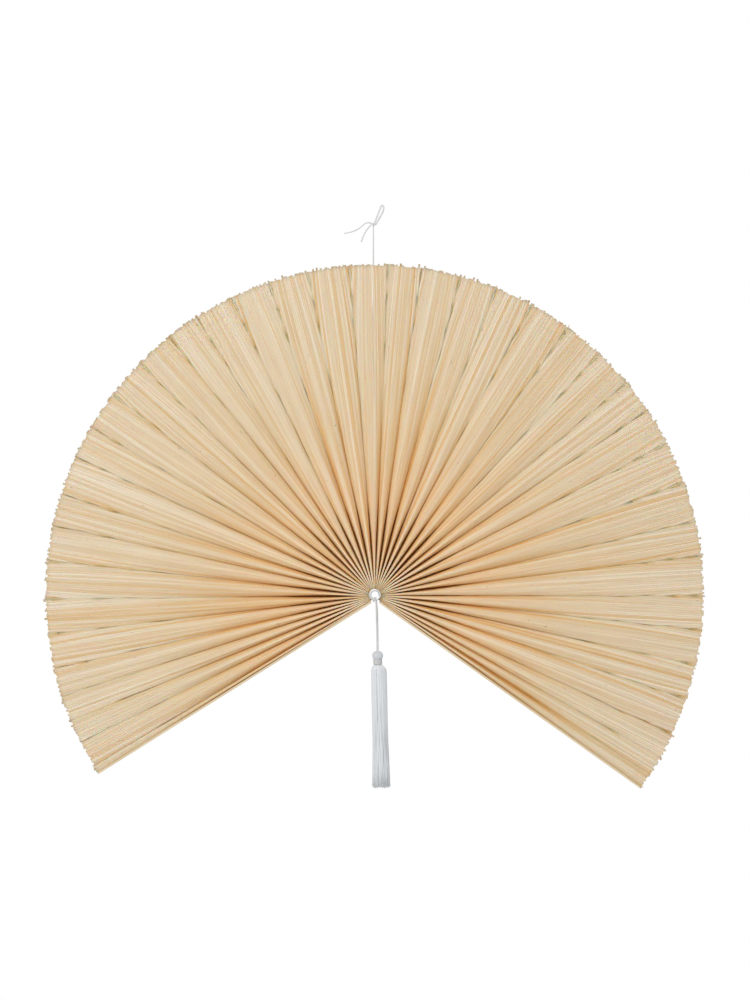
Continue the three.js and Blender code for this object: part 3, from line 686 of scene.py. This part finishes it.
fibre_shade.color_ramp.elements[0].color = (0.86, 0.83, 0.78, 1)
fibre_shade.color_ramp.elements[1].position = 0.6
fibre_shade.color_ramp.elements[1].color = (1, 1, 1, 1)
links.new(fibre.outputs["Fac"], fibre_shade.inputs["Fac"])
speck_run = nodes.new("ShaderNodeVectorMath")
speck_run.operation = "MULTIPLY"
speck_run.inputs[1].default_value = (150, 420, 83)
links.new(grain.outputs["Vector"], speck_run.inputs[0])
speck = nodes.new("ShaderNodeTexNoise")
speck.inputs["Scale"].default_value = 1
speck.inputs["Detail"].default_value = 1
links.new(speck_run.outputs["Vector"], speck.inputs["Vector"])
speck_shade = nodes.new("ShaderNodeValToRGB")
speck_shade.color_ramp.elements[0].position = 0.76
speck_shade.color_ramp.elements[0].color = (1, 1, 1, 1)
speck_shade.color_ramp.elements[1].position = 0.83
speck_shade.color_ramp.elements[1].color = (0.5, 0.38, 0.25, 1)
links.new(speck.outputs["Fac"], speck_shade.inputs["Fac"])
# Painted shade along each stick: a warm tint from the hub out to about 0.4 m, where the folds are deep, and
# grey tips on the longest sticks at the rim.
down_stick = nodes.new("ShaderNodeSeparateXYZ")
links.new(grain.outputs["Vector"], down_stick.inputs["Vector"])
painted_radial_shade = nodes.new("ShaderNodeValToRGB")
ramp = painted_radial_shade.color_ramp
ramp.elements[0].position = 0.0
ramp.elements[0].color = (1, 0.95, 0.86, 1)
ramp.elements[1].position = 0.47
ramp.elements[1].color = (0.97, 0.97, 0.965, 1)
for position, colour in [
    (0.035, (1.06, 0.95, 0.89, 1)), (0.085, (1.08, 0.97, 0.90, 1)), (0.145, (1.06, 0.97, 0.90, 1)),
    (0.22, (1.02, 0.96, 0.90, 1)), (0.30, (0.98, 0.95, 0.90, 1)), (0.39, (0.97, 0.955, 0.925, 1)),
    (0.491, (0.97, 0.97, 0.97, 1)), (0.498, (0.6, 0.6, 0.56, 1)),
]:
    ramp.elements.new(position).color = colour
links.new(down_stick.outputs["X"], painted_radial_shade.inputs["Fac"])
colour_so_far = stick_colour.outputs["Color"]
for darker in (painted_radial_shade, fibre_shade, speck_shade):
    layer = nodes.new("ShaderNodeMix")
    layer.data_type = "RGBA"
    layer.blend_type = "MULTIPLY"
    layer.inputs["Factor"].default_value = 1.0
    links.new(colour_so_far, layer.inputs["A"])
    links.new(darker.outputs["Color"], layer.inputs["B"])
    colour_so_far = layer.outputs["Result"]
links.new(colour_so_far, shader.inputs["Base Color"])
sheen = nodes.new("ShaderNodeMapRange")
sheen.inputs["To Min"].default_value = 0.48
sheen.inputs["To Max"].default_value = 0.72
links.new(fibre.outputs["Fac"], sheen.inputs["Value"])
links.new(sheen.outputs["Result"], shader.inputs["Roughness"])
shader.inputs["Specular IOR Level"].default_value = 0.3
shader.inputs["Subsurface Weight"].default_value = 0.8
shader.inputs["Subsurface Radius"].default_value = (1.0, 0.55, 0.25)
shader.inputs["Subsurface Scale"].default_value = 0.0009
fibre_bump = nodes.new("ShaderNodeBump")
fibre_bump.inputs["Strength"].default_value = 0.3
fibre_bump.inputs["Distance"].default_value = 0.0002
links.new(fibre.outputs["Fac"], fibre_bump.inputs["Height"])
links.new(fibre_bump.outputs["Normal"], shader.inputs["Normal"])

stitching, nodes, links, shader = new_finish("stitching_thread")
shader.inputs["Roughness"].default_value = 0.8
place = nodes.new("ShaderNodeTexCoord")
lint = nodes.new("ShaderNodeTexNoise")
lint.inputs["Scale"].default_value = 800
links.new(place.outputs["Object"], lint.inputs["Vector"])
shade = nodes.new("ShaderNodeValToRGB")
shade.color_ramp.elements[0].color = (0.62, 0.52, 0.38, 1)
shade.color_ramp.elements[1].color = (0.80, 0.72, 0.58, 1)
links.new(lint.outputs["Fac"], shade.inputs["Fac"])
links.new(shade.outputs["Color"], shader.inputs["Base Color"])


def on_circle(radius, degrees):
    angle = math.radians(degrees)
    return Vector((radius * math.sin(angle), 0, radius * math.cos(angle)))


fold_angles = [-LEFT_SPREAD + (LEFT_SPREAD + RIGHT_SPREAD) * sum(PLEAT_WIDTHS[:k]) / sum(PLEAT_WIDTHS)
               for k in range(len(PLEAT_WIDTHS) + 1)]
fold_feet = [-LEFT_FOOT_SPREAD + (LEFT_FOOT_SPREAD + RIGHT_FOOT_SPREAD) * k / len(PLEAT_WIDTHS)
             for k in range(len(PLEAT_WIDTHS) + 1)]


def fold_point(number, share):
    foot = on_circle(FOOT_RADIUS, fold_feet[number])
    return foot.lerp(RIM_CENTRE + on_circle(RIM_RADIUS, fold_angles[number]), share)


def half_width(number, share):
    return ((fold_point(number + 1, share) - fold_point(number, share)).length - PLEAT_GAP) / 2


def panel_width(number):
    return max(LEAST_PANEL_WIDTH, math.hypot(half_width(number, 1), RIM_DEPTH))


def stick_count(number):
    return round(panel_width(number) / STICK_PITCH)


def pleat_depth(number, share):
    return math.sqrt(max(panel_width(number) ** 2 - half_width(number, share) ** 2, 0))


def valley_depth(number, share):
    beside = [k for k in (number - 1, number) if 0 <= k < len(PLEAT_WIDTHS)]
    return sum(pleat_depth(k, share) / 2 for k in beside) / len(beside)


def pleat_section(number, share):
    left, right = fold_point(number, share), fold_point(number + 1, share)
    ridge = (left + right) / 2 + Vector((0, FOLD_INSET - pleat_depth(number, share) / 2, 0))
    across = (right - left).normalized()
    inset = across * PLEAT_GAP / 2
    left_valley = left + inset + Vector((0, valley_depth(number, share) - FOLD_INSET, 0))
    right_valley = right - inset + Vector((0, valley_depth(number + 1, share) - FOLD_INSET, 0))
    return left_valley, ridge, right_valley, across, half_width(number, share)


def along_stick(values, share):
    for (a, low), (b, high) in zip(values, values[1:]):
        if share <= b:
            return low + (high - low) * (share - a) / (b - a)


# Half a pleat cut across: the arch from the ridge to its edge, then the wall back to the valley.
def panel_line(number, side, share):
    left, ridge, right, across, room = pleat_section(number, share)
    valley = left if side < 0 else right
    deep = Vector((0, valley.y - ridge.y, 0))
    own_fold = random.Random(900 + 2 * number + (side > 0))
    top = along_stick(FOLD_TOP, share)
    top += (1 - top) * own_fold.uniform(-0.45, 0.5)
    steep = along_stick(FOLD_RISE, share) * own_fold.uniform(0.8, 1.25)
    steep *= USUAL_WIDTH / PLEAT_WIDTHS[number]
    wall_room = WALL_ROOM - along_stick(WALL_CLOSES, share) * own_fold.uniform(0.5, 1)
    wide = (valley - ridge - deep) * top * (1 - min(wall_room / room, 0.45))
    rise = deep.normalized() * min(steep * wide.length, MOST_FALL * deep.length)
    rounder = max(0, 0.45 - 0.8 * share)
    line = []
    for k in range(ARCH_STEPS + 1):
        angle = math.pi / 2 * k / ARCH_STEPS
        fall = (1 - rounder) * math.sin(angle) ** ARCH_ROUNDING + rounder * (1 - math.cos(angle))
        line.append(ridge + wide * math.sin(angle) + rise * fall)
    line.append(valley)
    walked = [0.0]
    for a, b in zip(line, line[1:]):
        walked.append(walked[-1] + (b - a).length)
    return line, walked, room


def place_on_panel(panel, u):
    line, walked, room = panel
    goal = u * walked[-1]
    k = 0
    while k < len(line) - 2 and walked[k + 1] < goal:
        k += 1
    part = (goal - walked[k]) / (walked[k + 1] - walked[k])
    return line[k].lerp(line[k + 1], part), (line[k + 1] - line[k]).normalized()


def stick_run(middles, k):
    return (middles[min(k + 1, len(ALONG) - 1)] - middles[max(k - 1, 0)]).normalized()


def add_stick(leaf, stations, seed, tone_of_stick):
    base = len(leaf["corners"])
    walked = 0
    for k, (middle, flat, front, wide, thick) in enumerate(stations):
        walked += (middle - stations[k - 1][0]).length if k else 0
        # Painted shade: the steeper the stick stands in the fold, the more its tone is raised towards warm,
        # darker orange.
        turned_away = 1 - math.sqrt(max(0, 1 - flat.y ** 2))
        painted_shade = turned_away * PAINTED_WALL_SHADE * (0.6 + 0.8 * ALONG[k]) * min(1, ALONG[k] / 0.06)
        for a, b in STICK_PROFILE:
            leaf["corners"].append(from_hub(*(middle + flat * (a * wide) + front * (b * thick))))
            leaf["grain"].extend((walked / 1000, a * wide / 1000, seed))
            leaf["tone"].append(tone_of_stick + painted_shade)
    around = len(STICK_PROFILE)
    for k in range(len(stations) - 1):
        for c in range(around):
            a, b = base + k * around + c, base + k * around + (c + 1) % around
            leaf["faces"].append((a, b, b + around, a + around))
    leaf["faces"].append(tuple(base + c for c in range(around - 1, -1, -1)))
    top = base + (len(stations) - 1) * around
    leaf["faces"].append(tuple(top + c for c in range(around)))


def stick_tone(chance):
    tone_of_stick = min(max(chance.gauss(0.22, 0.13), 0), 0.7)
    return tone_of_stick + (chance.uniform(0.1, 0.25) if chance.random() < 0.06 else 0)


def cut_end(chance):
    return chance.uniform(-2.2, 1.5) + (chance.uniform(0.8, 3.2) if chance.random() < 0.1 else 0)


# The sticks between the folds lie edge to edge along that line, and the one at the turn stops there.
def panel_sticks(leaf, number, side, chance):
    count = stick_count(number)
    panel_lines = [panel_line(number, side, share) for share in ALONG]
    for j in range(1, count):
        place_in_mat = j + chance.uniform(-0.06, 0.06)
        half = chance.uniform(0.93, 1.03) / 2
        thick = STICK_THICKNESS / 2 * chance.uniform(0.8, 1.25)
        proud = chance.uniform(-STICK_PROUD, STICK_PROUD)
        end = cut_end(chance)
        edges = []
        tucked = []
        for share, panel_here in zip(ALONG, panel_lines):
            walked = panel_here[1]
            turn = walked[ARCH_STEPS] / walked[-1] * count
            tucked.append(along_stick(WALL_TUCKED, share) if turn < place_in_mat else 0)
            low, high = place_in_mat - half, place_in_mat + half
            if place_in_mat <= turn < place_in_mat + 1:
                high = turn
            elif place_in_mat - 1 <= turn < place_in_mat:
                low = min(turn + tucked[-1] * WALL_BELOW_FACE * count / walked[-1], high - 0.1)
            edges.append([place_on_panel(panel_here, u / count)[0] for u in (low, high)])
        middles = [(low + high) / 2 for low, high in edges]
        middles[-1] += (middles[-1] - middles[-2]).normalized() * end
        stations = []
        for k, (low, high) in enumerate(edges):
            flat = (high - low).normalized()
            front = flat.cross(stick_run(middles, k)).normalized() * side
            slim = min(1, 0.8 * panel_lines[k][2] / (2 * thick))
            behind = tucked[k] * (thick + STICK_PROUD)
            middle = middles[k] + front * (proud - behind) * slim
            stations.append((middle, flat, front, (high - low).length / 2, thick * slim))
        add_stick(leaf, stations, chance.random(), stick_tone(chance))


# A thin stick lies close behind the arch's edge, where the face turns into the wall, and closes the slit.
def edge_stick(leaf, number, side, chance):
    middles = []
    flats = []
    widths = []
    for share in ALONG:
        panel_here = line, walked, room = panel_line(number, side, share)
        edge = line[ARCH_STEPS]
        wide = min(EDGE_STICK_HALF, 0.3 * walked[ARCH_STEPS])
        inner = place_on_panel(panel_here, (walked[ARCH_STEPS] - 2 * wide) / walked[-1])[0]
        flats.append((edge - inner).normalized())
        widths.append(wide)
        middles.append((inner + edge) / 2 + flats[-1] * 0.15 * wide)
    middles[-1] -= (middles[-1] - middles[-2]).normalized() * EDGE_STICK_SHORT
    stations = []
    for k in range(len(ALONG)):
        front = flats[k].cross(stick_run(middles, k)).normalized() * side
        stations.append((middles[k] - front * 0.68 * widths[k], flats[k], front, widths[k], 0.2 * widths[k]))
    add_stick(leaf, stations, chance.random(), stick_tone(chance))


# One stick lies along each fold: 0 is the left valley, 1 the ridge and 2 the right valley.
def fold_stick(leaf, number, which, chance):
    count = stick_count(number)
    thick = STICK_THICKNESS / 2 * chance.uniform(0.8, 1.1)
    end = cut_end(chance)
    middles = []
    flats = []
    roomy = []
    widths = []
    for share in ALONG:
        section = pleat_section(number, share)
        middles.append(section[which])
        flats.append(section[3])
        roomy.append(section[4])
        widths.append(sum(panel_line(number, side, share)[1][-1] for side in (-1, 1)) / count / 4)
    middles[-1] += (middles[-1] - middles[-2]).normalized() * end
    stations = []
    for k in range(len(ALONG)):
        front = flats[k].cross(stick_run(middles, k)).normalized()
        wide = min(widths[k] if which == 1 else 1.0, 0.9 * roomy[k])
        stations.append((middles[k], flats[k], front, wide, min(thick, 0.5 * roomy[k] + 0.1)))
    add_stick(leaf, stations, chance.random(), stick_tone(chance))


def add_stitching(leaf, number, side, radius):
    share = (radius - FOOT_RADIUS) / (RIM_RADIUS - FOOT_RADIUS)
    count = stick_count(number)
    outwards = (fold_point(number, 1) + fold_point(number + 1, 1)).normalized()
    panel_here = panel_line(number, side, share)
    line = []
    for j in range(count):
        for u, lift in THREAD_WEAVE:
            place, flat = place_on_panel(panel_here, (j + u) / count)
            front = flat.cross(outwards).normalized() * side
            line.append(place + front * lift)
    base = len(leaf["corners"])
    for point in line:
        for a, b in [(-1, -1), (1, -1), (1, 1), (-1, 1)]:
            corner = point + outwards * (THREAD_HALF * a) + front * (THREAD_HALF * b)
            leaf["corners"].append(from_hub(*corner))
            leaf["grain"].extend((0, 0, 0))
            leaf["tone"].append(0.3)
    facing = 1 if side > 0 else -1
    for k in range(len(line) - 1):
        for c in range(4):
            a, b = base + k * 4 + c, base + k * 4 + (c + 1) % 4
            leaf["stitches"].append((a, b, b + 4, a + 4)[::facing])
    top = base + (len(line) - 1) * 4
    leaf["stitches"].append(tuple(base + c for c in (3, 2, 1, 0))[::facing])
    leaf["stitches"].append(tuple(top + c for c in (0, 1, 2, 3))[::facing])


def pleat_mesh(name, number, sides, chance):
    leaf = {"corners": [], "faces": [], "stitches": [], "grain": [], "tone": []}
    for side in sides:
        panel_sticks(leaf, number, side, chance)
        edge_stick(leaf, number, side, chance)
    if -1 in sides:
        fold_stick(leaf, number, 0, chance)
        fold_stick(leaf, number, 1, chance)
    if number == len(PLEAT_WIDTHS) - 1:
        fold_stick(leaf, number, 2, chance)
    for side in sides:
        for radius in THREAD_RADII:
            add_stitching(leaf, number, side, radius)
    mesh = bpy.data.meshes.new(name)
    mesh.from_pydata([tuple(c) for c in leaf["corners"]], [], leaf["faces"] + leaf["stitches"])
    mesh.materials.append(bamboo)
    mesh.materials.append(stitching)
    mesh.polygons.foreach_set(
        "material_index", [0] * len(leaf["faces"]) + [1] * len(leaf["stitches"]))
    mesh.attributes.new("grain", "FLOAT_VECTOR", "POINT").data.foreach_set("vector", leaf["grain"])
    mesh.attributes.new("tone", "FLOAT", "POINT").data.foreach_set("value", leaf["tone"])
    piece = bpy.data.objects.new(name, mesh)
    bpy.context.scene.collection.objects.link(piece)
    return piece


for number in range(len(PLEAT_WIDTHS)):
    label = f"{number + 1:02d}"
    chance = random.Random(100 + number)
    if number == CENTRE_PLEAT:
        for side, joint, half in [(-1, "left_fold", "left"), (1, "right_fold", "right")]:
            sticks = pleat_mesh(f"pleat_{label}_{half}_sticks", number, [side], chance)
            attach(sticks, "hub")
            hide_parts(f"pleat_{label}")
            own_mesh(sticks)
        continue
    sticks = pleat_mesh(f"pleat_{label}_sticks", number, [-1, 1], chance)
    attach(sticks, f"pleat_{label}")
    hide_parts(f"pleat_{label}")
    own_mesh(sticks)

# Guards: a planed bamboo slat on edge along each end of the leaf, beside the last pleat. It stiffens the
# lower edge and closes over the folded leaf, and its fibres run along it.
for guard, angle in [("left_guard", fold_angles[0]), ("right_guard", fold_angles[-1])]:
    slat, nodes, links, shader = new_finish(f"{guard}_bamboo")
    place = nodes.new("ShaderNodeTexCoord")
    lengthways = nodes.new("ShaderNodeMapping")
    lengthways.inputs["Rotation"].default_value = (0, math.radians(90 - angle), 0)
    links.new(place.outputs["Object"], lengthways.inputs["Vector"])
    fibre_run = nodes.new("ShaderNodeVectorMath")
    fibre_run.operation = "MULTIPLY"
    fibre_run.inputs[1].default_value = (12, 1500, 1500)
    links.new(lengthways.outputs["Vector"], fibre_run.inputs[0])
    fibre = nodes.new("ShaderNodeTexNoise")
    fibre.inputs["Scale"].default_value = 1
    fibre.inputs["Detail"].default_value = 4
    links.new(fibre_run.outputs["Vector"], fibre.inputs["Vector"])
    shade = nodes.new("ShaderNodeValToRGB")
    shade.color_ramp.elements[0].position = 0.25
    shade.color_ramp.elements[0].color = (0.66, 0.49, 0.28, 1)
    shade.color_ramp.elements[1].position = 0.7
    shade.color_ramp.elements[1].color = (0.80, 0.66, 0.45, 1)
    links.new(fibre.outputs["Fac"], shade.inputs["Fac"])
    links.new(shade.outputs["Color"], shader.inputs["Base Color"])
    sheen = nodes.new("ShaderNodeMapRange")
    sheen.inputs["To Min"].default_value = 0.45
    sheen.inputs["To Max"].default_value = 0.65
    links.new(fibre.outputs["Fac"], sheen.inputs["Value"])
    links.new(sheen.outputs["Result"], shader.inputs["Roughness"])
    fibre_bump = nodes.new("ShaderNodeBump")
    fibre_bump.inputs["Strength"].default_value = 0.25
    fibre_bump.inputs["Distance"].default_value = 0.0002
    links.new(fibre.outputs["Fac"], fibre_bump.inputs["Height"])
    links.new(fibre_bump.outputs["Normal"], shader.inputs["Normal"])
    guard_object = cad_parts[guard]
    guard_object.data.materials.clear()
    guard_object.data.materials.append(slat)

# Floor: a plain pale studio floor well below the hanging fan. It is painted evenly, with a faint mottle,
# and takes the fan's soft shadow.
FLOOR_LEVEL = -1.9
FLOOR_REACH = 3
floor_mesh = bpy.data.meshes.new("floor")
floor_mesh.from_pydata(
    [(x * FLOOR_REACH, y * FLOOR_REACH, FLOOR_LEVEL) for x, y in [(-1, -1), (1, -1), (1, 1), (-1, 1)]],
    [], [(0, 1, 2, 3)],
)
pale, nodes, links, shader = new_finish("pale_floor")
shader.inputs["Roughness"].default_value = 0.9
place = nodes.new("ShaderNodeTexCoord")
mottle = nodes.new("ShaderNodeTexNoise")
mottle.inputs["Scale"].default_value = 3
links.new(place.outputs["Object"], mottle.inputs["Vector"])
shade = nodes.new("ShaderNodeValToRGB")
shade.color_ramp.elements[0].color = (0.80, 0.80, 0.80, 1)
shade.color_ramp.elements[1].color = (0.84, 0.84, 0.84, 1)
links.new(mottle.outputs["Fac"], shade.inputs["Fac"])
links.new(shade.outputs["Color"], shader.inputs["Base Color"])
floor_mesh.materials.append(pale)
floor = bpy.data.objects.new("floor", floor_mesh)
bpy.context.scene.collection.objects.link(floor)
